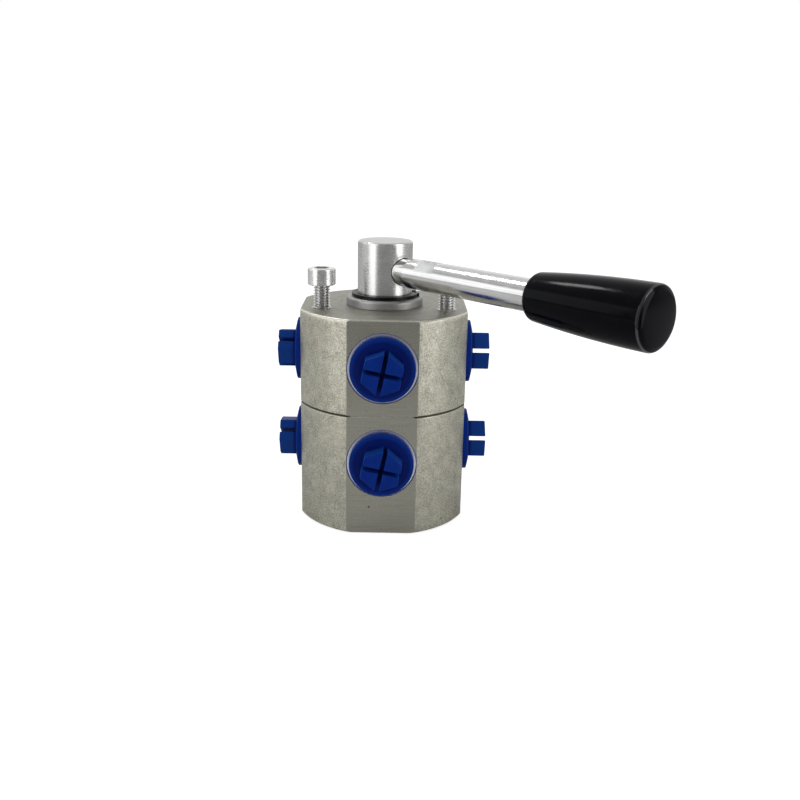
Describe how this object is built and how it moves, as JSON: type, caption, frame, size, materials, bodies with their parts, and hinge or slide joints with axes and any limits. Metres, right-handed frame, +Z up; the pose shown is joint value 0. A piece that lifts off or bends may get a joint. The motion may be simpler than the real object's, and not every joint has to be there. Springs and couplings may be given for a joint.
{
  "type": "manual rotary directional valve",
  "caption": "Two-row rotary hydraulic valve with a stacked round housing, milled port flats with blue plugs, top shaft and collar, and a side lever with a black tapered knob.",
  "frame": {"origin": "on the shaft axis at the housing's base face", "axes": "+Z up the shaft, -Y to the front flat, +X to the right flat"},
  "size_m": [0.124, 0.1291, 0.1018],
  "materials": {
    "body_metal": "bead-blasted grey plating",
    "turned_steel": "turned",
    "collar_steel": "satin",
    "screw_steel": "zinc plated",
    "lever_steel": "bright",
    "ground_steel": "ground",
    "black_steel": "black oxide",
    "bronze": "plain bearing bronze",
    "seal_rubber": "matte",
    "knob_plastic": "glossy black",
    "plug_plastic": "soft gloss blue"
  },
  "bodies": {
    "housing": {"lower_body": "body_metal", "upper_body": "body_metal", "joint_seal": "seal_rubber", "dowel_pins": "ground_steel", "tie_screws": "black_steel", "end_cap": "turned_steel", "end_cap_seal": "seal_rubber", "base_washer": "bronze", "top_washer": "bronze", "gland_ring": "collar_steel", "gland_seal": "seal_rubber", "shaft_seal": "seal_rubber", "wiper_seal": "seal_rubber", "mounting_screws": "screw_steel", "plug_upper_front": "plug_plastic", "plug_upper_right": "plug_plastic", "plug_upper_back": "plug_plastic", "plug_upper_left": "plug_plastic", "plug_lower_front": "plug_plastic", "plug_lower_right": "plug_plastic", "plug_lower_back": "plug_plastic", "plug_lower_left": "plug_plastic"},
    "rotor": {"rotor": "turned_steel", "rotor_seal_base": "seal_rubber", "rotor_seal_lower": "seal_rubber", "rotor_seal_upper": "seal_rubber", "rotor_seal_top": "seal_rubber", "stop_pin": "ground_steel", "detent_balls": "ground_steel", "detent_springs": "ground_steel", "circlip": "black_steel", "lever_rod": "lever_steel", "lever_knob": "knob_plastic"}
  },
  "joints": [
    {"name": "lever_turn", "type": "hinge", "parent": "housing", "child": "rotor", "pos_m": [0, 0, 0.0785], "axis": [0, 0, 1], "range_deg": [-86, 0]}
  ]
}
